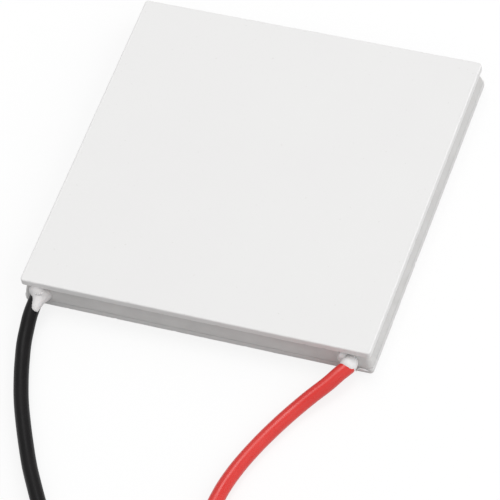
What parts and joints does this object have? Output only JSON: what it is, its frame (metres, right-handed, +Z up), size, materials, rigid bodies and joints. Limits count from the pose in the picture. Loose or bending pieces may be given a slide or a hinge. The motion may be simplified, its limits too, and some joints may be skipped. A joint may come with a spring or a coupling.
{
  "type": "thermoelectric cooling module",
  "caption": "Square, thin solid-state cooler: two white ceramic plates over soldered semiconductor legs, sealed all round, with a red and a black lead.",
  "frame": {"origin": "middle of the lower (hot) face, which lies on the table", "axes": "+Z up through the plates to the cold face; the leads leave the front edge towards -Y, black at the -X corner and red at the +X corner"},
  "size_m": [0.056, 0.0915, 0.0038],
  "materials": {
    "ceramic": "lapped white alumina",
    "copper": "rolled copper",
    "n_semiconductor": "sawn bismuth telluride",
    "p_semiconductor": "sawn bismuth telluride",
    "solder": "reflowed solder",
    "silicone": "cured white silicone",
    "tinned_copper": "tinned copper strands",
    "red_insulation": "soft extruded insulation",
    "black_insulation": "soft extruded insulation",
    "tie": "moulded plastic strip"
  },
  "bodies": {
    "root": {"cold_plate": "ceramic", "hot_plate": "ceramic", "cold_tabs": "copper", "hot_tabs": "copper", "negative_terminal_tab": "copper", "positive_terminal_tab": "copper", "n_type_legs": "n_semiconductor", "p_type_legs": "p_semiconductor", "cold_solder": "solder", "hot_solder": "solder", "edge_seal": "silicone", "red_lead_core": "tinned_copper", "black_lead_core": "tinned_copper", "red_lead_solder": "solder", "black_lead_solder": "solder", "red_lead_seal": "silicone", "black_lead_seal": "silicone", "red_lead": "red_insulation", "black_lead": "black_insulation", "red_lead_coil": "red_insulation", "black_lead_coil": "black_insulation", "red_lead_tail": "red_insulation", "black_lead_tail": "black_insulation", "red_lead_tip": "tinned_copper", "black_lead_tip": "tinned_copper", "red_coil_tie": "tie", "black_coil_tie": "tie"}
  },
  "joints": []
}
